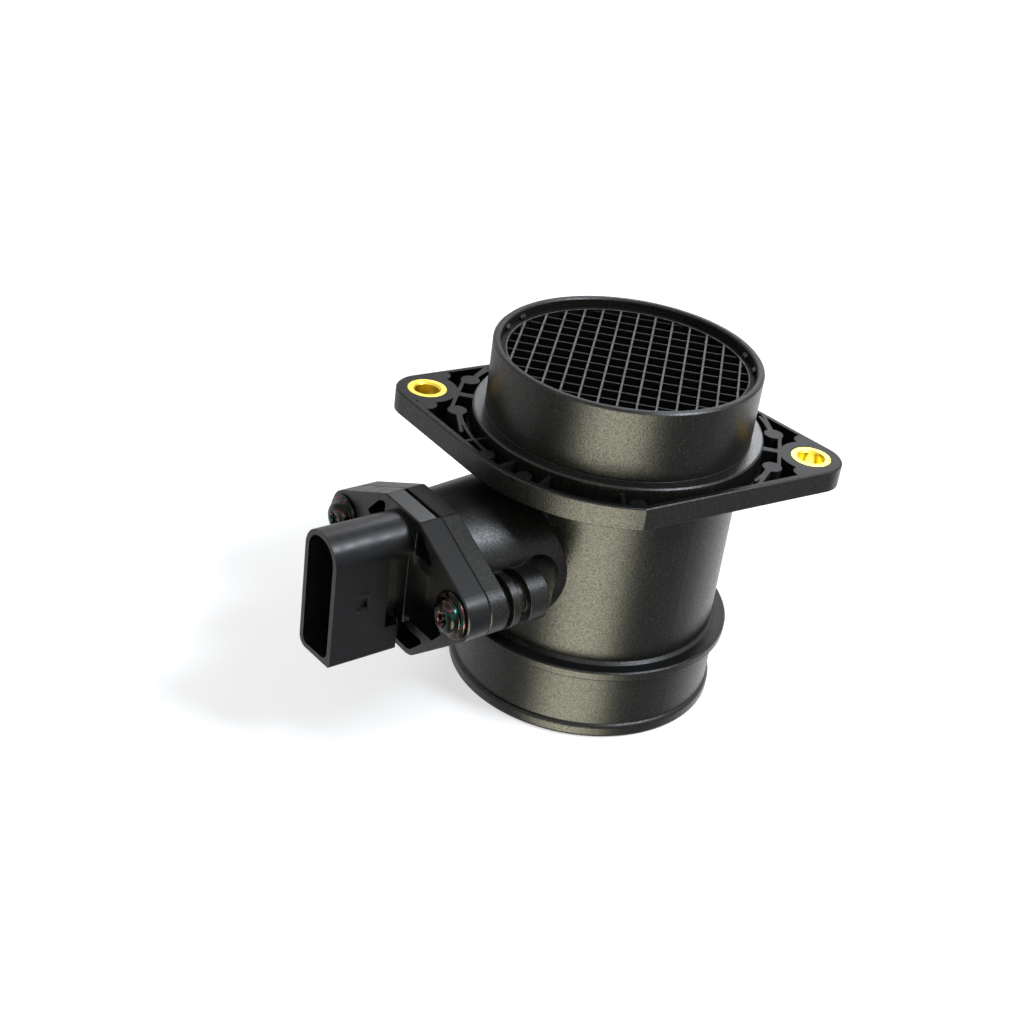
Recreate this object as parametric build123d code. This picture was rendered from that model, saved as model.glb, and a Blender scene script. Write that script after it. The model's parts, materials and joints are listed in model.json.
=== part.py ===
from build123d import *
from math import asin, cos, degrees, radians, sin, sqrt
import os

# Mass airflow sensor: duct housing with a plug-in sensor module. The housing is one
# moulding, kept here as three solids that meet: tube, inlet flange and sensor boss.
# Millimetres. The duct axis is +Z towards the inlet, the outlet end is z = 0,
# and the sensor module with its connector points to -Y.

# duct housing, radii built out from the tube
TUBE_R = 33.2
TUBE_WALL = 2.7
STUB_WALL = 2.8
BORE_R = TUBE_R - TUBE_WALL
STUB_R = TUBE_R + 1.8
OUTLET_BORE_R = STUB_R - STUB_WALL
BEAD_R = STUB_R + 0.8
RIDGE_R = STUB_R + 2.25
COLLAR_R = TUBE_R + 0.8
RING_R = COLLAR_R + 3.2

# duct housing, heights
BEAD_H = 4.1
RIDGE_Z = 19.0
RIDGE_H = 2.65
FLANGE_TOP = 73.3
FLANGE_H = 5.8
FLANGE_FLOOR = 1.5
COLLAR_H = 20.1
FLANGE_BOTTOM = FLANGE_TOP - FLANGE_H
RING_TOP = FLANGE_TOP + 1.8
COLLAR_TOP = FLANGE_TOP + COLLAR_H

# bolted flange with the two ears
FLANGE_R = RING_R + 6.3
FLANGE_WALL = 1.5
HOLE_SQUARE = 70.0
EAR_R = 8.0
EAR_X = HOLE_SQUARE / sqrt(2)
FLAT_D = RING_R + 2.4
INSERT_R = 5.05
INSERT_HOLE_R = 3.2
PAD_RING_R = RING_R + 3.7
PAD_R = 2.5
SMALL_PAD_R = 1.9
RIB = 1.0

# inlet grille
GRILLE_H = 4.0
GRILLE_TOP = COLLAR_TOP - 2.5
GRILLE_SEAT = GRILLE_TOP - GRILLE_H
GRILLE_POCKET_R = COLLAR_R - 1.9
GRILLE_R = GRILLE_POCKET_R - 0.15
GRILLE_INNER_R = GRILLE_R - 1.65
GRILLE_PITCH = 4.65
GRILLE_BAR = 0.5
GRILLE_BAR_H = 2.7
CROSS_BAR_H = 1.8
CROSS_BAR_DROP = 0.4

# sensor side of the housing: the sensor axis lies SENSOR_Z up the duct, distances
# are measured outwards along -Y, heights up from the sensor axis
SENSOR_Z = 45.0
SEAM = 57.7
PLATE_T = 4.8
PLATE_BACK = SEAM - PLATE_T
SENSOR_BORE_R = 14.8
BARREL_R = SENSOR_BORE_R + 3.5
BARREL_FOOT_R = BARREL_R + 1.7
BARREL_FOOT = 22.0
SCREW_X = 24.0
SCREW_RISE = 3.0
SCREW_END_R = 6.8
SCREW_CORE_R = 5.0
SCREW_RING = (PLATE_BACK - 3.7, PLATE_BACK - 1.7)
SCREW_COLUMN = (PLATE_BACK - 11.9, PLATE_BACK - 6.7)

# sensor module plate and plug
MODULE_PLATE_T = 6.3
LAND = SEAM + MODULE_PLATE_T
POCKET_FLOOR = SEAM + 1.5
PRY_SLOT = 1.3
PLUG_R = SENSOR_BORE_R - 0.2
PLUG_L = 24.7
PLUG_END = SEAM - PLUG_L
SEAL_FLOOR_R = SENSOR_BORE_R - 2.2
SEAL = (SEAM - 15.3, SEAM - 11.9)
SEAL_W = 2.9

# connector
SHROUD_W = 14.0
SHROUD_LOW = -17.1
SHROUD_LEAN = 0.5
SHROUD_HIGH = 17.2
SHROUD_WALL = 1.4
SHROUD_L = 21.5
SHROUD_END = LAND + SHROUD_L
SOCKET_FLOOR = LAND + 8.5
SIDE_CORE = (LAND + 1.6, LAND + 6.6)
SIDE_CORE_RISE = (-9.2, 9.6)
LOW_CORE = (SEAM, LAND + 3.0)
LATCH = (SHROUD_END - 9.7, SHROUD_END - 6.7)
WEB = 4.8
PIN_T = 0.8
PIN_W = 1.5
PIN_PITCH = 5.0
PIN_COUNT = 5
PIN_TIP = SHROUD_END - 5.0
PIN_ROOT = PLUG_END - 8.0

# module screws
SHANK_R = 2.0
SHANK_L = 15.0
WASHER_R = 5.9
WASHER_T = 0.9
HEAD_R = 4.3
HEAD_H = 2.3
SOCKET_R = 1.9
SCREW_CLEAR_R = SHANK_R + 0.2
SLIM_CORE_R = SHANK_R + 2.6

# measuring blade, its tip lies past the duct axis
BLADE_L = 47.0
BLADE_T = PLUG_R - 1.6
BLADE_W = 2 * PLUG_R - 3.2
BLADE_X = BLADE_T / 2
BLADE_TIP = PLUG_END - BLADE_L
FLOOR_X = 4.0 - BLADE_X
COVER_T = 1.2
LEDGE = 0.7
CHAMBER_W = BLADE_W - 3.6
INLET_LEG = (BLADE_TIP + 3.0, BLADE_TIP + 12.0)
SENSE_LEG = (BLADE_TIP + 17.0, BLADE_TIP + 23.0)
CHAMBER = (SENSE_LEG[1] + 3.0, PLUG_END - 3.0)
CHANNEL_LOW = -9.0
CHANNEL_LINK_H = 6.0
SENSE_LEG_TOP = 8.0

# electronics in the blade, stacked up from the chamber floor
CARRIER_T = 1.2
BOARD_T = 0.8
BOARD_TOP = FLOOR_X + CARRIER_T + BOARD_T
CARRIER_GAP = 0.4
ELEMENT_T = 0.6
ELEMENT_W = 5.0
ELEMENT = (SENSE_LEG[0] + 1.4, SENSE_LEG[1] + 8.0)
CHIP_T = 0.35
CHIP_W = 3.6
CHIP = (SENSE_LEG[0] + 2.2, SENSE_LEG[0] + 5.0)

# air temperature bead at the blade tip
LEAD_R = 0.3
LEAD_SPACING = 1.6
LEAD_ROOT = BLADE_TIP + 1.4
LEAD_END = BLADE_TIP - 2.6
BEAD_TH_R = 1.4
BEAD_TH_L = 2.6

EARS = Rot(0, 0, 45)


def out_plane(distance):
    """A plane across the sensor axis: its x is X, its y is up, its normal is -Y."""
    return Plane(origin=(0, -distance, SENSOR_Z), x_dir=(1, 0, 0), z_dir=(0, -1, 0))


def slab(sketch, start, end):
    """A sketch round the sensor axis, pushed outwards from start to end."""
    return extrude(out_plane(start) * sketch, amount=end - start)


def post(x, rise, radius, start, end):
    """A round bar along the sensor axis."""
    return slab(Pos(x, rise) * Circle(radius), start, end)


def cell(x_range, out_range, rise_range):
    """A box from its ranges along X, outwards, and up from the sensor axis."""
    size = [r[1] - r[0] for r in (x_range, out_range, rise_range)]
    x, out, rise = [(r[1] + r[0]) / 2 for r in (x_range, out_range, rise_range)]
    return Pos(x, -out, SENSOR_Z + rise) * Box(*size)


def centred(width):
    """The range of a width that lies evenly about zero."""
    return (-width / 2, width / 2)


def layer(sketch, bottom, top):
    """A sketch in X and Y, raised from bottom to top."""
    return extrude(Pos(0, 0, bottom) * sketch, amount=top - bottom)


def polar(radius, angle):
    return radius * cos(radians(angle)), radius * sin(radians(angle))


def round_edges(solid):
    return solid.edges().filter_by(GeomType.CIRCLE)


def hull(circles):
    """The tight outline round circles given as (x, y, radius)."""
    edges = []
    for x, y, radius in circles:
        edges += (Pos(x, y) * CenterArc((0, 0), radius, 0, 360)).edges()
    return make_hull(edges)


def turned(points):
    """A solid turned about the duct axis from radius and height pairs."""
    outline = Polyline([(r, 0, z) for r, z in points], close=True)
    return revolve(make_face(outline), axis=Axis.Z)


def corner(face, x, y):
    """The corner of a flat outline nearest to a point."""
    return face.vertices().sort_by_distance((x, y, 0))[0]


def flange_outline(inset):
    """The flange outline, its ears along x, moved inwards by inset."""
    lean = radians(90) - asin((FLAT_D - EAR_R) / EAR_X)
    apex = (FLAT_D - inset) / sin(lean) - 0.05
    ear = EAR_R - inset
    rhomb = hull([(EAR_X, 0, ear), (-EAR_X, 0, ear), (0, apex, 0.05), (0, -apex, 0.05)])
    disc = Circle(FLANGE_R - inset)
    rhomb = rhomb & (disc + Rectangle(4 * EAR_X, 1.2 * FLANGE_R))
    full_side = hull([(0, 0, FLANGE_R - inset), (-EAR_X, 0, ear)])
    quarter = Pos(-EAR_X, -EAR_X) * Rectangle(2 * EAR_X, 2 * EAR_X)
    return rhomb + (full_side & quarter)


def bar(start, end, width):
    """A straight rib between two points of the flange."""
    length = sqrt((end[0] - start[0]) ** 2 + (end[1] - start[1]) ** 2)
    turn = degrees(asin((end[1] - start[1]) / length))
    if end[0] < start[0]:
        turn = 180 - turn
    middle = Pos((start[0] + end[0]) / 2, (start[1] + end[1]) / 2)
    return middle * Rot(0, 0, turn) * Rectangle(length, width)


def arc_rib(start, end):
    """A thin rib along the ring, between two angles in degrees."""
    band = Circle(PAD_RING_R - 0.2) - Circle(PAD_RING_R - 1.1)
    reach = 2 * FLANGE_R
    return band & Polygon((0, 0), polar(reach, start), polar(reach, end), align=None)


def flange_pockets():
    """The cored region between the ring and the flange wall, less pads and ribs."""
    region = flange_outline(FLANGE_WALL) - Circle(RING_R)
    pad_x, pad_y = polar(PAD_RING_R, 13)
    rib_x, rib_y = polar(PAD_RING_R + 1, 29)
    ear_inner = EAR_X - EAR_R
    for side in (1, -1):
        region -= Pos(side * EAR_X, 0) * Circle(EAR_R)
        region -= bar((side * (RING_R - 1), 0), (side * (ear_inner + 1), 0), 2.0)
        region -= Pos(side * ear_inner, 0) * Rectangle(RIB, 2 * pad_y)
        for up in (1, -1):
            region -= Pos(side * pad_x, up * pad_y) * Circle(PAD_R)
            region -= Pos(side * (EAR_X - 1.9), up * (EAR_R + 0.9)) * Circle(PAD_R)
            region -= bar((side * pad_x, up * pad_y), (side * rib_x, up * rib_y), RIB)
    for angle in (-134.5, -117, -77, 77, 103, 134.5):
        region -= Pos(*polar(PAD_RING_R, angle)) * Circle(SMALL_PAD_R)
    for angle in (-145, -126, -110, -82, 82, 110):
        region -= bar(polar(RING_R - 1, angle), polar(FLANGE_R, angle), 0.9)
    for start, end in ((13, 27), (-27, -13), (153, 167), (-167, -134.5)):
        region -= arc_rib(start, end)
    return region


def plate_outline():
    """Outline shared by the housing plate and the module plate."""
    circles = []
    for side in (1, -1):
        circles.append((side * SCREW_X, SCREW_RISE, SCREW_END_R))
        circles.append((side * 6.9, BARREL_R - 1.6, 2.0))
        circles.append((side * 6.9, 4.6 - BARREL_R, 5.0))
    return hull(circles)


def tube_blank():
    """Tube, hose stub with its end bead, and stop ridge, without the bore."""
    ridge_top = RIDGE_Z + RIDGE_H
    bead = layer(Circle(BEAD_R), 0, BEAD_H)
    bead = fillet(round_edges(bead), 1.2)
    stub = layer(Circle(STUB_R), 1, RIDGE_Z + 1)
    ridge = layer(Circle(RIDGE_R), RIDGE_Z, ridge_top)
    ridge = chamfer(round_edges(ridge), 0.4)
    foot_r = TUBE_R + 0.8
    tube = turned([(0, ridge_top - 1), (foot_r, ridge_top - 1), (foot_r, ridge_top),
                   (TUBE_R, ridge_top + 0.8), (TUBE_R, FLANGE_BOTTOM), (0, FLANGE_BOTTOM)])
    return bead + stub + ridge + tube


def flange_blank():
    """The rhombic flange, its ears at 45 degrees, with the ring and the inlet collar."""
    plate = layer(EARS * flange_outline(0), FLANGE_BOTTOM, FLANGE_TOP)
    plate = chamfer(plate.edges().group_by(Axis.Z)[-1], 0.3)
    collar = layer(Circle(COLLAR_R), FLANGE_BOTTOM + 1, COLLAR_TOP)
    collar = chamfer(collar.edges().group_by(Axis.Z)[-1], 0.5)
    ring = layer(Circle(RING_R), FLANGE_BOTTOM, RING_TOP)
    ring = chamfer(ring.edges().group_by(Axis.Z)[-1], 0.4)
    return plate + collar + ring


def duct_bore():
    """The air passage, with the grille seat in the inlet and a wider outlet."""
    lip_r = GRILLE_POCKET_R + 0.5
    return turned([(0, -1), (OUTLET_BORE_R, -1), (OUTLET_BORE_R, RIDGE_Z - 2), (BORE_R, RIDGE_Z + 4),
                   (BORE_R, GRILLE_SEAT), (GRILLE_POCKET_R, GRILLE_SEAT),
                   (GRILLE_POCKET_R, COLLAR_TOP - 0.4), (lip_r, COLLAR_TOP + 0.1),
                   (lip_r, COLLAR_TOP + 1), (0, COLLAR_TOP + 1)])


def arm(side, start, radius):
    """The taper that carries a screw column back into the barrel."""
    wide = out_plane(start) * Pos(side * SCREW_X, SCREW_RISE) * Circle(radius)
    narrow = out_plane(start - 13) * Pos(side * (BARREL_R - 5.3), 1) * Circle(5)
    return loft([narrow, wide])


def ribbed_column():
    """Right screw column behind the plate, with a ring and a wide end."""
    column = post(SCREW_X, SCREW_RISE, SCREW_CORE_R, SCREW_COLUMN[0], SEAM - 1)
    column += post(SCREW_X, SCREW_RISE, SCREW_END_R, *SCREW_RING)
    column += post(SCREW_X, SCREW_RISE, SCREW_END_R, *SCREW_COLUMN)
    return column + arm(1, SCREW_COLUMN[0], SCREW_END_R)


def slim_column():
    """Left screw column, plain and hidden behind the plate."""
    column = post(-SCREW_X, SCREW_RISE, SLIM_CORE_R, SCREW_COLUMN[1], SEAM - 1)
    return column + arm(-1, SCREW_COLUMN[1], SLIM_CORE_R)


def tapered(start, start_r, end, end_r):
    """A round taper along the sensor axis."""
    length = end - start
    along = out_plane(start + length / 2)
    return along * Cone(start_r, end_r, length)


def boss_blank():
    """The tapered barrel with the plate that carries the module, without the bore."""
    barrel = tapered(BARREL_FOOT, BARREL_FOOT_R, PLATE_BACK, BARREL_R)
    plate = slab(plate_outline(), PLATE_BACK, SEAM)
    plate = chamfer(plate.faces().sort_by(Axis.Y)[0].edges(), 0.25)
    return barrel + plate + ribbed_column() + slim_column()


def stake_nibs():
    """Staked nibs on the collar wall that hold the grille down."""
    nibs = []
    nib = Pos(GRILLE_POCKET_R, 0, GRILLE_TOP + 0.6) * Box(1.4, 2.2, 1.2)
    nib = chamfer(nib.edges().filter_by(Axis.Y).group_by(Axis.Z)[-1].sort_by(Axis.X)[0], 0.6)
    for middle in (17.5, 162.5, 197.5, 342.5):
        for offset in (-7.5, 7.5):
            nibs.append(Rot(0, 0, 45 + middle + offset) * nib)
    return nibs


def sensor_bore():
    return post(0, 0, SENSOR_BORE_R, BARREL_FOOT - 2, SEAM + 1)


def make_duct_tube():
    return tube_blank() - duct_bore() - sensor_bore()


def make_inlet_flange():
    """Flange with cored pockets and bush seats, and the collar with the grille seat."""
    flange = flange_blank() - duct_bore()
    flange -= layer(EARS * flange_pockets(), FLANGE_BOTTOM + FLANGE_FLOOR, FLANGE_TOP + 1)
    for side in (1, -1):
        hole = EARS * Pos(side * EAR_X, 0) * Circle(INSERT_R)
        flange -= layer(hole, FLANGE_BOTTOM - 1, FLANGE_TOP + 1)
    for nib in stake_nibs():
        flange += nib
    return flange


def make_sensor_boss():
    """Barrel and module plate, their foot fitted to the outside of the duct."""
    boss = boss_blank() - tube_blank() - flange_blank() - sensor_bore()
    boss -= tapered(SEAM - 1.2, SENSOR_BORE_R, SEAM, SENSOR_BORE_R + 0.7)
    for side in (1, -1):
        boss -= post(side * SCREW_X, SCREW_RISE, SHANK_R, LAND - SHANK_L - 2, SEAM + 1)
    return boss


def make_insert(side):
    """Brass compression bush in one flange ear."""
    ring = Circle(INSERT_R) - Circle(INSERT_HOLE_R)
    bush = layer(ring, FLANGE_BOTTOM, FLANGE_TOP)
    hole_edges = round_edges(bush).group_by(SortBy.RADIUS)[0]
    return EARS * Pos(side * EAR_X, 0) * chamfer(hole_edges, 0.5)


def make_grille():
    """Moulded inlet grille: a ring, long bars and lower cross bars."""
    disc = Circle(GRILLE_INNER_R + 0.5)
    long_bars = Sketch()
    cross_bars = Sketch()
    count = int(GRILLE_INNER_R / GRILLE_PITCH)
    for i in range(-count, count + 1):
        long_bars += Pos(i * GRILLE_PITCH, 0) * Rectangle(GRILLE_BAR, 4 * GRILLE_R)
        cross_bars += Pos(0, i * GRILLE_PITCH) * Rectangle(4 * GRILLE_R, GRILLE_BAR)
    ring = layer(Circle(GRILLE_R) - Circle(GRILLE_INNER_R), GRILLE_SEAT, GRILLE_TOP)
    cross_top = GRILLE_TOP - CROSS_BAR_DROP
    grille = ring + layer(long_bars & disc, GRILLE_TOP - GRILLE_BAR_H, GRILLE_TOP)
    grille += layer(cross_bars & disc, cross_top - CROSS_BAR_H, cross_top)
    return EARS * grille


def shroud_outline(inset):
    """Connector outline: round top, one soft and one sharp lower corner."""
    half = SHROUD_W / 2 - inset
    low = SHROUD_LOW + inset
    high = SHROUD_HIGH - inset
    face = Polygon((-half, low - SHROUD_LEAN), (half, low + SHROUD_LEAN), (half, high),
                   (-half, high), align=None)
    face = fillet([corner(face, half, high), corner(face, -half, high)], half - 0.4)
    face = fillet(corner(face, -half, low), 2.6 - inset / 2)
    return fillet(corner(face, half, low), 0.8 + 1.4 * inset)


def land_pockets():
    """Cored pockets in the front of the module plate, right side."""
    inner = SHROUD_W / 2
    land = SCREW_X - 6.4
    top = Polygon((inner, 10.0), (inner + 7.8, 10.0), (inner + 2.8, 15.6), (inner, 16.7), align=None)
    middle = Polygon((inner, -8.6), (land - 0.4, -8.6), (land + 3.0, -4.8), (land + 0.4, -2.4),
                     (land - 0.4, 1.0), (land, 6.6), (land - 2.0, 7.4), (inner, 7.4), align=None)
    foot = WEB / 2 + 0.4
    low = Polygon((foot, -16.9), (inner + 0.6, -16.9), (inner + 2.2, -16.2),
                  (inner + 7.2, -11.2), (foot, -11.2), align=None)
    return [fillet(pocket.vertices(), 0.7) for pocket in (top, middle, low)]


def latch():
    """Two guard ribs on the connector side, above and below the latch window."""
    ribs = []
    side = SHROUD_W / 2
    for rise in (-2.2, 1.9):
        ribs.append(cell((side - 0.3, side + 0.6), LATCH, (rise - 0.3, rise + 0.3)))
    return ribs


def latch_window():
    """Recess between the guard ribs that catches the plug."""
    side = SHROUD_W / 2
    return cell((side - 1.0, side + 1), (LATCH[0] + 0.2, LATCH[0] + 2.2), (-1.8, 1.5))


def case_head():
    """Module plate, plug and connector shroud."""
    plate = slab(plate_outline(), SEAM, LAND)
    plate = chamfer(plate.edges().group_by(Axis.Y)[0], 0.3)
    plate = chamfer(plate.faces().sort_by(Axis.Y)[-1].edges(), 0.25)
    for sketch in land_pockets():
        for turned_over in (sketch, mirror(sketch, about=Plane.YZ)):
            plate -= slab(turned_over, POCKET_FLOOR, LAND + 1)
    for side in (1, -1):
        plate -= post(side * SCREW_X, SCREW_RISE, SCREW_CLEAR_R, SEAM - 1, LAND + 1)
    plate -= cell(centred(SHROUD_W + 0.8), (SEAM - 1, SEAM + PRY_SLOT), (BARREL_R - 1.2, BARREL_R + 1))
    plug = post(0, 0, PLUG_R, PLUG_END, SEAM)
    groove = post(0, 0, PLUG_R + 1, *SEAL) - post(0, 0, SEAL_FLOOR_R, *SEAL)
    shroud = slab(shroud_outline(0), SEAM + 2, SHROUD_END)
    shroud -= slab(shroud_outline(SHROUD_WALL), SOCKET_FLOOR, SHROUD_END + 1)
    for side in (1, -1):
        core_x = sorted((side * WEB / 2, side * SHROUD_W))
        shroud -= cell(core_x, SIDE_CORE, SIDE_CORE_RISE)
        shroud -= cell(core_x, LOW_CORE, (2 * SHROUD_LOW, SIDE_CORE_RISE[0]))
    shroud -= latch_window()
    return plate + (plug - groove) + shroud + latch()


def blade_blank():
    """The blade in the air flow, rounded on its upstream and downstream edges."""
    blank = cell(centred(BLADE_T), (BLADE_TIP, PLUG_END + 1), centred(BLADE_W))
    return fillet(blank.edges().filter_by(Axis.Y), 2.5)


def channel_space():
    """Bypass channel in the blade: down the inlet leg, across, up the sensing leg."""
    x_range = (FLOOR_X, BLADE_X - COVER_T)
    space = cell(x_range, INLET_LEG, (CHANNEL_LOW, BLADE_W / 2 + 1))
    link = (INLET_LEG[0], SENSE_LEG[1])
    space += cell(x_range, link, (CHANNEL_LOW, CHANNEL_LOW + CHANNEL_LINK_H))
    return space + cell(x_range, SENSE_LEG, (CHANNEL_LOW, SENSE_LEG_TOP))


def pin_spots():
    middle = (PIN_COUNT - 1) / 2
    return [(i - middle) * PIN_PITCH for i in range(PIN_COUNT)]


def pin_solid(rise):
    """One flat connector pin lying on the circuit board's level."""
    return cell((BOARD_TOP, BOARD_TOP + PIN_T), (PIN_ROOT, PIN_TIP), (rise - PIN_W / 2, rise + PIN_W / 2))


def element_solid():
    return cell((BOARD_TOP, BOARD_TOP + ELEMENT_T), ELEMENT, centred(ELEMENT_W))


def lead_solid(side):
    spot = Pos(0, side * LEAD_SPACING / 2) * Circle(LEAD_R)
    return slab(spot, LEAD_END, LEAD_ROOT)


def cover_ranges(which):
    """Ranges outwards and upwards of the two covers."""
    if which == "electronics":
        rise = CHAMBER_W / 2 + LEDGE
        return (CHAMBER[0] - LEDGE, CHAMBER[1] + LEDGE), (-rise, rise)
    return (INLET_LEG[0] - LEDGE, SENSE_LEG[1] + LEDGE), (CHANNEL_LOW - LEDGE, BLADE_W / 2 - 2.6)


def make_module_case():
    case = case_head() + blade_blank()
    case -= cell((FLOOR_X, BLADE_X - COVER_T), CHAMBER, centred(CHAMBER_W))
    case -= channel_space()
    case -= cell((-BLADE_X - 1, FLOOR_X + 1), SENSE_LEG, (SENSE_LEG_TOP - 5, SENSE_LEG_TOP))
    for which in ("electronics", "channel"):
        case -= cell((BLADE_X - COVER_T, BLADE_X + 1), *cover_ranges(which))
    for rise in pin_spots():
        case -= pin_solid(rise)
    case -= element_solid()
    case -= lead_solid(1)
    return case - lead_solid(-1)


def make_cover(which):
    """A lid that fills its recess in the side of the blade."""
    lid = cell((BLADE_X - COVER_T, BLADE_X), *cover_ranges(which))
    return chamfer(lid.faces().sort_by(Axis.X)[-1].edges(), 0.2)


def make_seal():
    """Seal ring, squeezed between the groove floor and the housing bore."""
    middle = (SEAL[0] + SEAL[1]) / 2
    section = Circle(SENSOR_BORE_R) - Circle(SEAL_FLOOR_R)
    ring = slab(section, middle - SEAL_W / 2, middle + SEAL_W / 2)
    return chamfer(round_edges(ring), 0.7)


def make_module_screw(side):
    """Pan head screw with a washer face and a socket."""
    x = side * SCREW_X
    head_start = LAND + WASHER_T
    head_end = head_start + HEAD_H
    head = post(x, SCREW_RISE, HEAD_R, head_start, head_end)
    head = chamfer(round_edges(head).sort_by(Axis.Y)[0], 0.9)
    washer = post(x, SCREW_RISE, WASHER_R, LAND, head_start)
    washer = chamfer(round_edges(washer).sort_by(Axis.Y)[0], 0.35)
    shank = post(x, SCREW_RISE, SHANK_R, LAND - SHANK_L, LAND)
    shank = chamfer(round_edges(shank).sort_by(Axis.Y)[-1], 0.8)
    socket = Pos(x, SCREW_RISE) * RegularPolygon(SOCKET_R, 6)
    return washer + head + shank - slab(socket, head_end - 1.6, head_end + 1)


def make_terminal(rise):
    pin = pin_solid(rise)
    return chamfer(pin.faces().sort_by(Axis.Y)[0].edges(), 0.25)


def make_carrier_plate():
    """Metal carrier on the chamber floor."""
    out_range = (CHAMBER[0] + CARRIER_GAP, CHAMBER[1] - CARRIER_GAP)
    return cell((FLOOR_X, FLOOR_X + CARRIER_T), out_range, centred(CHAMBER_W - 2 * CARRIER_GAP))


def make_circuit_board():
    """Ceramic circuit board on the carrier."""
    margin = CARRIER_GAP + 0.4
    out_range = (CHAMBER[0] + margin, CHAMBER[1] - margin)
    return cell((FLOOR_X + CARRIER_T, BOARD_TOP), out_range, centred(CHAMBER_W - 2 * margin))


def make_hot_film_chip():
    top = BOARD_TOP + ELEMENT_T
    return cell((top, top + CHIP_T), CHIP, centred(CHIP_W))


def make_temperature_bead():
    bead = post(0, 0, BEAD_TH_R, LEAD_END - BEAD_TH_L, LEAD_END)
    return chamfer(round_edges(bead).sort_by(Axis.Y)[-1], 0.7)


def parts():
    made = {
        "duct_tube": make_duct_tube(),
        "inlet_flange": make_inlet_flange(),
        "sensor_boss": make_sensor_boss(),
        "flange_insert_right": make_insert(1),
        "flange_insert_left": make_insert(-1),
        "inlet_grille": make_grille(),
        "module_case": make_module_case(),
        "seal_ring": make_seal(),
        "module_screw_right": make_module_screw(1),
        "module_screw_left": make_module_screw(-1),
        "electronics_cover": make_cover("electronics"),
        "channel_cover": make_cover("channel"),
        "carrier_plate": make_carrier_plate(),
        "circuit_board": make_circuit_board(),
        "sensor_element": element_solid(),
        "hot_film_chip": make_hot_film_chip(),
        "temperature_bead": make_temperature_bead(),
        "temperature_lead_1": lead_solid(1),
        "temperature_lead_2": lead_solid(-1),
    }
    for i, rise in enumerate(pin_spots()):
        made[f"terminal_{i + 1}"] = make_terminal(rise)
    return made


os.makedirs("parts", exist_ok=True)
for name, solid in parts().items():
    solid.label = name
    export_step(solid, f"parts/{name}.step")
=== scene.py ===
import bmesh
import bpy
import json
from math import cos, pi, radians, sin
from mathutils import Matrix, Vector


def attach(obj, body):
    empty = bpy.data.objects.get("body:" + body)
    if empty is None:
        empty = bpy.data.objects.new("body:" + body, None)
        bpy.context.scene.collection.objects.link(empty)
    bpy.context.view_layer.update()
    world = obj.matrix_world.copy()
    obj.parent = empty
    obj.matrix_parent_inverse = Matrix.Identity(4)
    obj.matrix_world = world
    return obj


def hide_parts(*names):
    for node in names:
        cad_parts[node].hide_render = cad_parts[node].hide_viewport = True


# Mass airflow sensor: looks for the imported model. Metres, in the frame of the CAD:
# the duct axis is +Z, the sensor module points to -Y, the floor is z = 0.

MM = 0.001

# camera that matches the photograph
CAMERA_AT = (0.27217, -0.25738, 0.25891)
CAMERA_AIM = (-0.01497, -0.01795, 0.04294)
CAMERA_ROLL = radians(7.871)
LENS = 57.63
SENSOR_WIDTH = 36.0

# sizes in millimetres, from the CAD
MODULE_Z = 45.0
SCREW_X = 24.0
SCREW_Z = 48.0
PLATE_FRONT_Y = -64.0
FLANGE_TOP = 73.3
GRILLE_TOP = 90.9
GRILLE_INNER_R = 30.3

# screw head, in millimetres: it starts as the floor of the recess, and its rings go up the
# recess, over the head, out to the washer face and down the shank, each with its radius, its
# height above the plate and the depth of the six lobes
RECESS_R = 1.5
RECESS_FLOOR = 1.6
SCREW_RINGS = [
    (1.55, 1.65, 0.26), (1.6, 3.02, 0.30), (1.75, 3.16, 0.22), (2.3, 3.18, 0.0),
    (3.0, 3.10, 0.0), (3.6, 2.86, 0.0), (4.0, 2.48, 0.0), (4.2, 2.0, 0.0), (4.26, 1.3, 0.0),
    (4.3, 1.0, 0.0), (4.55, 0.9, 0.0), (5.5, 0.86, 0.0), (5.8, 0.72, 0.0), (5.9, 0.5, 0.0),
    (5.9, 0.0, 0.0), (2.0, 0.0, 0.0), (2.0, -14.0, 0.0), (1.3, -15.0, 0.0),
]
CENTRE_PIN = {"segments": 20, "radius1": 0.55, "radius2": 0.5, "depth": 1.2}
CENTRE_PIN_MIDDLE = 2.1

# the table as the satin walls mirror it: its shade, and its lit places, each with azimuth,
# elevation, angular radius of the full light and of its edge, and colour
TABLE_SHADE = (0.55, 0.56, 0.57)
TABLE_LIT = [
    (-43.5, -30.0, 15.0, 31.5, (14.4, 14.0, 10.6)),
    (105.0, -30.0, 12.0, 50.0, (1.6, 1.62, 1.65)),
    (-138.0, -30.0, 15.0, 42.0, (1.0, 1.0, 0.98)),
]

# soft boxes, each with name, azimuth, elevation, size, power and tint
LAMP_DISTANCE = 1.0
LAMPS = [
    ("window_box", 60.0, 58.0, (0.35, 0.35), 1.5, (0.88, 0.94, 1.0)),
    ("side_box", 28.0, 52.0, (0.28, 0.28), 10.0, (0.86, 0.92, 1.0)),
    ("back_box", 130.0, 33.0, (0.4, 0.3), 4.5, (0.92, 0.95, 1.0)),
    ("front_box", -60.0, 40.0, (0.5, 0.5), 1.0, (1.0, 0.97, 0.9)),
]

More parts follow.
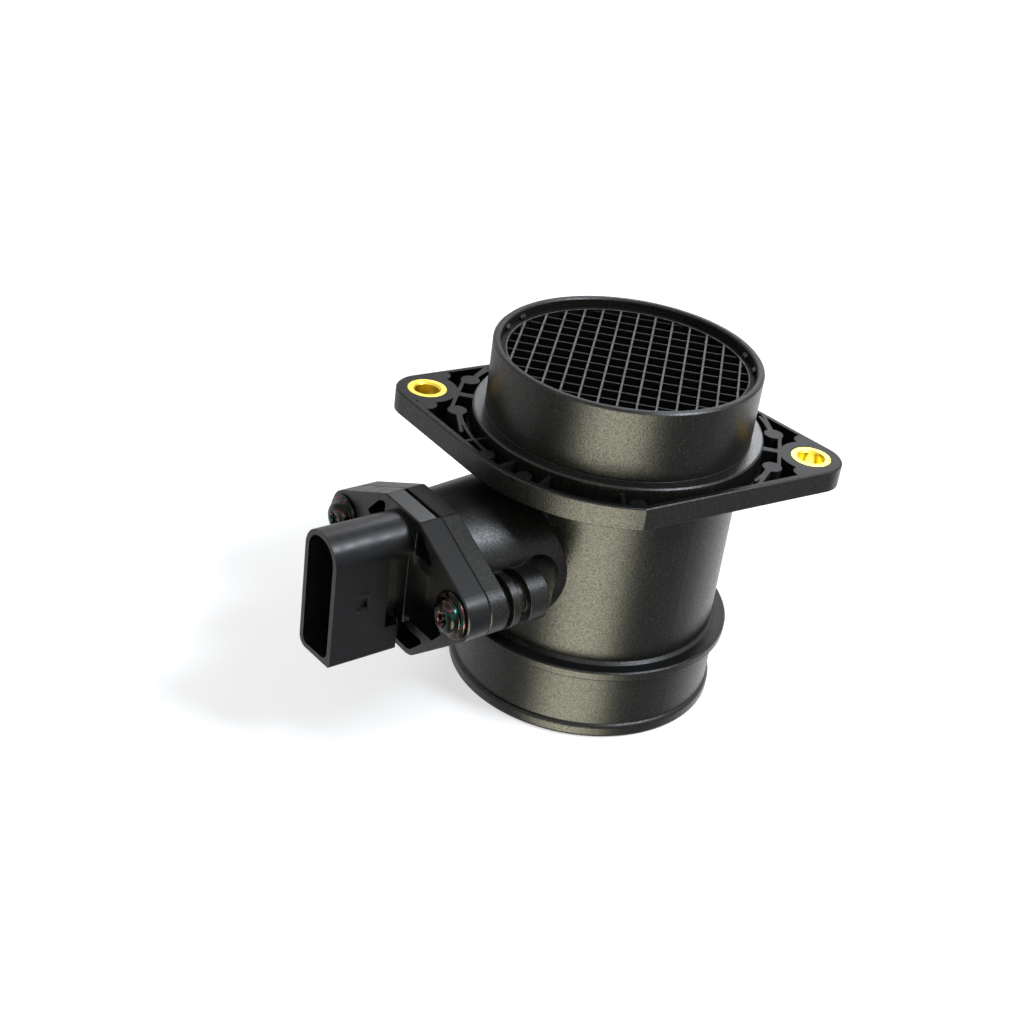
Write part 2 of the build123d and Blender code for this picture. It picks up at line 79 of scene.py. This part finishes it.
# small pieces of one colour, each with its colour, metallic and roughness
PLAIN_FINISHES = {
    "seal_rubber": ((0.012, 0.012, 0.012), 0.0, 0.7),
    "pin_metal": ((0.75, 0.66, 0.45), 1.0, 0.25),
    "carrier_aluminium": ((0.75, 0.75, 0.77), 1.0, 0.35),
    "board_ceramic": ((0.78, 0.76, 0.7), 0.0, 0.6),
    "element_steel": ((0.6, 0.6, 0.6), 1.0, 0.3),
    "chip_silicon": ((0.12, 0.13, 0.2), 0.6, 0.15),
    "bead_coating": ((0.05, 0.04, 0.04), 0.0, 0.2),
    "lead_wire": ((0.7, 0.7, 0.7), 1.0, 0.3),
}

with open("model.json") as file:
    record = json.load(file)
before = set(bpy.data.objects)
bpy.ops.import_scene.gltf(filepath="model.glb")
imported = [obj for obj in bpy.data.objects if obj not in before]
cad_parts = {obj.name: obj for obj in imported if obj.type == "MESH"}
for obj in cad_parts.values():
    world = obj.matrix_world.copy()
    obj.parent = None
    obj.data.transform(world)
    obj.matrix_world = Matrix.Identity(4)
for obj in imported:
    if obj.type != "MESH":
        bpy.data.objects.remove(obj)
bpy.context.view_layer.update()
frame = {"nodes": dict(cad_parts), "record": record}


class Socket:
    """A shader value, so that its maths can be written as a Python expression."""

    def __init__(self, finish, output):
        self.finish = finish
        self.output = output

    def __add__(self, other):
        return self.finish.maths("ADD", self, other)

    __radd__ = __add__

    def __mul__(self, other):
        return self.finish.maths("MULTIPLY", self, other)

    __rmul__ = __mul__


class Finish:
    """The nodes of one material, or of the world."""

    def __init__(self, name, kind=bpy.data.materials):
        self.material = kind.new(name)
        self.material.use_nodes = True
        self.tree = self.material.node_tree
        self.tree.nodes.clear()

    def add(self, kind, settings=None, inputs=None, output=0):
        """Any node, with its settings first and then the values or links of its sockets."""
        node = self.tree.nodes.new(kind)
        for key, value in (settings or {}).items():
            if key == "stops":
                fill_ramp(node.color_ramp, value)
            else:
                setattr(node, key, value)
        for key, value in (inputs or {}).items():
            if isinstance(value, Socket):
                self.tree.links.new(value.output, node.inputs[key])
            else:
                node.inputs[key].default_value = value
        return Socket(self, node.outputs[output]) if node.outputs else None

    def maths(self, operation, first, second):
        return self.add("ShaderNodeMath", {"operation": operation}, {0: first, 1: second})

    def place(self):
        return self.add("ShaderNodeTexCoord", output="Object")

    def height_of(self, vector):
        return self.add("ShaderNodeSeparateXYZ", inputs={"Vector": vector}, output="Z")

    def upward(self):
        """1 on faces that look straight up the duct, 0 on walls."""
        return self.height_of(self.add("ShaderNodeTexCoord", output="Normal"))

    def length(self, vector):
        return self.add("ShaderNodeVectorMath", {"operation": "LENGTH"}, {0: vector}, output="Value")

    def ray(self, kind):
        return self.add("ShaderNodeLightPath", output=kind)

    def noise(self, size, detail=2.0, roughness=0.5):
        """Noise with features of the given size in millimetres, from 0 to 1."""
        inputs = {"Vector": self.place(), "Scale": 1 / (size * MM), "Detail": detail, "Roughness": roughness}
        return self.add("ShaderNodeTexNoise", {"noise_dimensions": "3D"}, inputs)

    def ranged(self, value, low, high, to_low=0.0, to_high=1.0):
        """A value mapped smoothly from one range to another."""
        settings = {"interpolation_type": "SMOOTHSTEP"}
        inputs = {"Value": value, "From Min": low, "From Max": high, "To Min": to_low, "To Max": to_high}
        return self.add("ShaderNodeMapRange", settings, inputs)

    def blend(self, amount, first, second):
        """Colour between two colours."""
        inputs = {0: amount, 6: colour(first), 7: colour(second)}
        return self.add("ShaderNodeMix", {"data_type": "RGBA"}, inputs, output=2)

    def ramp(self, value, stops):
        return self.add("ShaderNodeValToRGB", {"stops": stops}, {"Fac": value})

    def rounded(self, radius):
        """The surface normal with edges rounded off, radius in millimetres."""
        return self.add("ShaderNodeBevel", {"samples": 6}, {"Radius": radius * MM})

    def bump(self, height, distance, strength, normal=None):
        """The normal with grain on it, distance in millimetres."""
        inputs = {"Height": height, "Distance": distance * MM, "Strength": strength}
        if normal:
            inputs["Normal"] = normal
        return self.add("ShaderNodeBump", None, inputs)

    def surface(self, Base_Color, **inputs):
        names = {key.replace("_", " "): value for key, value in inputs.items()}
        names["Base Color"] = colour(Base_Color)
        return self.add("ShaderNodeBsdfPrincipled", None, names)

    def mixed(self, amount, first, second):
        return self.add("ShaderNodeMixShader", None, {0: amount, 1: first, 2: second})

    def finished(self, shader):
        self.add("ShaderNodeOutputMaterial", None, {"Surface": shader})
        return self.material


def colour(value):
    """A colour given as three numbers gets its alpha, a socket stays."""
    return value if isinstance(value, Socket) else (*value, 1.0)


def darker(rgb, share):
    return tuple(share * part for part in rgb)


def fill_ramp(ramp, stops):
    while len(ramp.elements) < len(stops):
        ramp.elements.new(0.5)
    for element, (position, rgb) in zip(ramp.elements, stops):
        element.position = position
        element.color = (*rgb, 1.0)


# finishes

def glass_filled_plastic():
    """Housing: black glass-filled plastic, satin walls with fine pits, and painted shade on the upward faces
    of the flange and the collar rim.
    """
    f = Finish("glass_filled_plastic")
    fibres = f.ranged(f.noise(size=0.5, detail=1.0), low=0.58, high=0.74, to_high=0.6)
    base = f.blend(fibres, (0.006, 0.006, 0.005), (0.050, 0.048, 0.036))
    grain = f.noise(size=0.4, detail=2.0, roughness=0.6)
    normal = f.bump(grain, distance=0.05, strength=0.7, normal=f.rounded(0.28))
    rough = f.ranged(f.noise(size=0.9), low=0.3, high=0.7, to_low=0.31, to_high=0.37)
    wall = f.surface(Base_Color=base, Roughness=rough, Specular_IOR_Level=0.33, Normal=normal)
    # painted shade: the upward faces of the flange and of the collar rim take this darker, barely reflective
    # surface, which the fine pits share
    top_shade_and_pit_colour = (0.005, 0.005, 0.005)
    painted_shade_and_pit_surface = f.surface(Base_Color=top_shade_and_pit_colour, Roughness=0.45, Specular_IOR_Level=0.08, Normal=normal)
    height = f.height_of(f.place())
    below_ring = f.ranged(height, (FLANGE_TOP + 0.6) * MM, (FLANGE_TOP + 1.2) * MM, 1.0, 0.0)
    rim = f.ranged(height, GRILLE_TOP * MM, (GRILLE_TOP + 0.5) * MM)
    # mask of the painted shade: upward faces below the ring and at the collar rim
    painted_shade_on_tops = f.ranged(f.upward(), low=0.9, high=0.98) * (below_ring + rim)
    pitted = f.noise(size=0.42, detail=2.0, roughness=0.7)
    pits = f.ranged(pitted, low=0.42, high=0.64, to_high=0.48)
    return f.finished(f.mixed(f.maths("MAXIMUM", painted_shade_on_tops, pits), wall, painted_shade_and_pit_surface))


def grille_plastic():
    """Grille: thin satin bars with a painted highlight on their tops, mottled by noise, weaker on the
    crossing bars.
    """
    f = Finish("grille_plastic")
    # painted highlight: the upward faces of the bars are coloured lighter near the grille top, a quarter as
    # much lower down, not on the outer frame, mottled by noise
    painted_highlight_tops = f.ranged(f.upward(), low=0.8, high=0.95)
    height = f.height_of(f.place())
    high = f.ranged(height, (GRILLE_TOP - 0.3) * MM, (GRILLE_TOP - 0.1) * MM, to_low=0.25)
    flat = f.add("ShaderNodeVectorMath", {"operation": "MULTIPLY"}, {0: f.place(), 1: (1, 1, 0)})
    edge = ((GRILLE_INNER_R + 0.25) * MM, (GRILLE_INNER_R + 0.4) * MM)
    bars = f.ranged(f.length(flat), *edge, to_low=1.0, to_high=0.05)
    highlight_mottle = f.ranged(f.noise(size=1.2, detail=3.0), low=0.35, high=0.65, to_low=0.55)
    base = f.blend(painted_highlight_tops * high * bars * highlight_mottle, (0.004, 0.004, 0.004), (0.125, 0.125, 0.123))
    normal = f.bump(f.noise(size=0.4), distance=0.02, strength=0.4)
    return f.finished(f.surface(Base_Color=base, Roughness=0.6, Specular_IOR_Level=0.04, Normal=normal))


def smooth_plastic(name, base, roughness, grain_strength):
    """Sensor module: finer black plastic with faint flow clouds."""
    f = Finish(name)
    clouds = f.ranged(f.noise(size=6.0, detail=3.0), low=0.3, high=0.7)
    shade = f.blend(clouds, base, darker(base, 0.75))
    grain = f.noise(size=0.3, detail=2.0, roughness=0.6)
    normal = f.bump(grain, distance=0.02, strength=grain_strength, normal=f.rounded(0.12))
    rough = f.ranged(f.noise(size=2.5), 0.3, 0.7, roughness - 0.05, roughness + 0.06)
    shader = f.surface(Base_Color=shade, Roughness=rough, Specular_IOR_Level=0.25, Normal=normal)
    return f.finished(shader)


def turned_brass():
    """Flange bushes: bright yellow brass with fine turning marks."""
    f = Finish("turned_brass")
    base = f.blend(f.noise(size=2.0), (0.74, 0.50, 0.04), (0.84, 0.66, 0.09))
    normal = f.bump(f.noise(size=0.25), distance=0.01, strength=0.25, normal=f.rounded(0.2))
    return f.finished(f.surface(Base_Color=base, Metallic=1.0, Roughness=0.36, Normal=normal))


def rainbow_plating():
    """Screws: dark passivated zinc, iridescent in patches."""
    f = Finish("rainbow_plating")
    dark, straw, rose = (0.012, 0.014, 0.012), (0.03, 0.026, 0.014), (0.10, 0.035, 0.05)
    plum, green, olive = (0.014, 0.012, 0.014), (0.01, 0.065, 0.045), (0.014, 0.014, 0.012)
    hues = [(0.36, dark), (0.42, straw), (0.49, rose), (0.56, plum), (0.62, green), (0.67, olive)]
    base = f.ramp(f.noise(size=3.2, detail=0.0, roughness=0.4), hues)
    return f.finished(f.surface(Base_Color=base, Metallic=1.0, Roughness=0.2))


def plain(name, base, metallic, roughness):
    """Small inner pieces: one colour, slightly uneven."""
    f = Finish(name)
    shade = f.blend(f.noise(size=1.0), base, darker(base, 0.8))
    rough = f.ranged(f.noise(size=0.6), 0.3, 0.7, roughness, roughness + 0.1)
    return f.finished(f.surface(Base_Color=shade, Metallic=metallic, Roughness=rough))


FINISHES = {slot: plain(slot, *values) for slot, values in PLAIN_FINISHES.items()}
FINISHES["housing_plastic"] = glass_filled_plastic()
FINISHES["grille_plastic"] = grille_plastic()
FINISHES["module_plastic"] = smooth_plastic("module_plastic", (0.006, 0.0062, 0.007), 0.33, 0.25)
FINISHES["cover_plastic"] = smooth_plastic("cover_plastic", (0.008, 0.008, 0.008), 0.42, 0.2)
FINISHES["bush_brass"] = turned_brass()
FINISHES["screw_steel"] = rainbow_plating()


def dress_nodes():
    """Each CAD node gets the finish of its material slot."""
    slots = {row["node"]: row["material_slot"] for row in frame["record"]["subparts"]}
    for name, node in frame["nodes"].items():
        node.data.materials.clear()
        node.data.materials.append(FINISHES[slots[name]])


# new pieces

def put_in_scene(name, data):
    """A new object for a mesh, a lamp or a camera."""
    made = bpy.data.objects.new(name, data)
    bpy.context.scene.collection.objects.link(made)
    return made


def mesh_object(name, bm, material):
    """A finished bmesh as an object with its material."""
    mesh = bpy.data.meshes.new(name)
    bm.to_mesh(mesh)
    bm.free()
    mesh.materials.append(material)
    return put_in_scene(name, mesh)


def ring_up(bm, loop, radius, height, lobe):
    """Extrudes a loop of edges and puts it on a ring, which six lobes may wave."""
    made = bmesh.ops.extrude_edge_only(bm, edges=loop)["geom"]
    for vert in [g for g in made if isinstance(g, bmesh.types.BMVert)]:
        clockwise = Vector((1, 0)).angle_signed(vert.co.xy)
        reach = radius + lobe * cos(6 * clockwise)
        vert.co = (reach * cos(clockwise), -reach * sin(clockwise), height)
    return [g for g in made if isinstance(g, bmesh.types.BMEdge)]


def screw_head(name, x, node):
    """Pan head on a washer face, with a six-lobe recess, a centre pin and its shank."""
    bm = bmesh.new()
    floor = bmesh.ops.create_circle(bm, cap_ends=True, segments=72, radius=RECESS_R)
    bmesh.ops.translate(bm, verts=floor["verts"], vec=(0, 0, RECESS_FLOOR))
    loop = list(bm.edges)
    for radius, height, lobe in SCREW_RINGS:
        loop = ring_up(bm, loop, radius, height, lobe)
    bmesh.ops.contextual_create(bm, geom=loop)
    pin = bmesh.ops.create_cone(bm, cap_ends=True, **CENTRE_PIN)
    bmesh.ops.translate(bm, verts=pin["verts"], vec=(0, 0, CENTRE_PIN_MIDDLE))
    bmesh.ops.recalc_face_normals(bm, faces=bm.faces)
    seat = Matrix.Translation((x * MM, PLATE_FRONT_Y * MM, SCREW_Z * MM))
    turned = Matrix.Rotation(pi / 2, 4, "X") @ Matrix.Scale(MM, 4)
    bmesh.ops.transform(bm, matrix=seat @ turned, verts=bm.verts)
    for face in bm.faces:
        face.smooth = True
    piece = mesh_object(name, bm, FINISHES["screw_steel"])
    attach(piece, "root")
    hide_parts(node)


# stage, lights and camera

def direction(azimuth, elevation):
    """Unit vector towards an azimuth and an elevation in degrees."""
    across = cos(radians(elevation))
    turn = radians(azimuth)
    return Vector((across * cos(turn), across * sin(turn), sin(radians(elevation))))


def seen_rays(f):
    """1 for rays that see or mirror the background, 0 for its light."""
    seen = f.ray("Is Camera Ray") + f.ray("Is Glossy Ray") + f.ray("Is Transmission Ray")
    return f.maths("MINIMUM", seen, 1.0)


def studio_floor():
    """Pale paper that fades into the background, and lets the walls mirror the table below."""
    f = Finish("studio_floor")
    level = f.ranged(f.length(f.place()), low=0.4, high=2.4, to_low=0.6, to_high=0.85) * seen_rays(f)
    glow = f.add("ShaderNodeEmission", None, {"Color": (1, 1, 1, 1), "Strength": level})
    paper = f.surface(Base_Color=(0.5, 0.5, 0.5), Roughness=0.9, Specular_IOR_Level=0.0)
    lit = f.add("ShaderNodeAddShader", None, {0: paper, 1: glow})
    f.finished(f.mixed(f.ray("Is Glossy Ray"), lit, f.add("ShaderNodeBsdfTransparent")))
    bm = bmesh.new()
    bmesh.ops.create_grid(bm, x_segments=1, y_segments=1, size=3.0)
    floor = mesh_object("studio_floor", bm, f.material)


def studio_world():
    """White where it is seen or mirrored, dimmer where it lights the part, with the table below."""
    f = Finish("studio_world", bpy.data.worlds)
    way = f.add("ShaderNodeTexCoord", output="Generated")
    table = TABLE_SHADE
    for azimuth, elevation, full, edge, light in TABLE_LIT:
        inputs = {0: way, 1: direction(azimuth, elevation)}
        near = f.add("ShaderNodeVectorMath", {"operation": "DOT_PRODUCT"}, inputs, output="Value")
        table = f.blend(f.ranged(near, cos(radians(edge)), cos(radians(full))), table, light)
    above = f.ranged(f.height_of(way), low=-0.06, high=0.0)
    white = f.maths("MAXIMUM", above, f.ray("Is Camera Ray"))
    seen = f.blend(white, table, (1.0, 1.0, 1.0))
    level = 0.3 + 0.7 * seen_rays(f)
    light = f.add("ShaderNodeBackground", None, {"Color": seen, "Strength": level})
    f.add("ShaderNodeOutputWorld", None, {"Surface": light})
    bpy.context.scene.world = f.material


def soft_lamp(name, azimuth, elevation, size, power, tint):
    """A soft box that looks at the middle of the part, angles in degrees."""
    lamp = bpy.data.lights.new(name, "AREA")
    lamp.shape = "RECTANGLE"
    lamp.size, lamp.size_y = size
    lamp.energy = power
    lamp.color = tint
    holder = put_in_scene(name, lamp)
    towards = direction(azimuth, elevation)
    holder.location = Vector((0, 0, MODULE_Z * MM)) + LAMP_DISTANCE * towards
    holder.rotation_euler = towards.to_track_quat("Z", "Y").to_euler()


def photo_camera():
    """The camera of the photograph."""
    lens = bpy.data.cameras.new("photo_camera")
    lens.lens = LENS
    lens.sensor_width = SENSOR_WIDTH
    lens.clip_start = 0.01
    camera = put_in_scene("photo_camera", lens)
    towards = Vector(CAMERA_AIM) - Vector(CAMERA_AT)
    turn = towards.to_track_quat("-Z", "Y").to_matrix().to_4x4() @ Matrix.Rotation(CAMERA_ROLL, 4, "Z")
    camera.matrix_world = Matrix.Translation(CAMERA_AT) @ turn
    bpy.context.scene.camera = camera


dress_nodes()
screw_head("screw_right", SCREW_X, "module_screw_right")
screw_head("screw_left", -SCREW_X, "module_screw_left")

studio_floor()
studio_world()
for lamp_row in LAMPS:
    soft_lamp(*lamp_row)
photo_camera()
bpy.context.scene.view_settings.view_transform = "Standard"
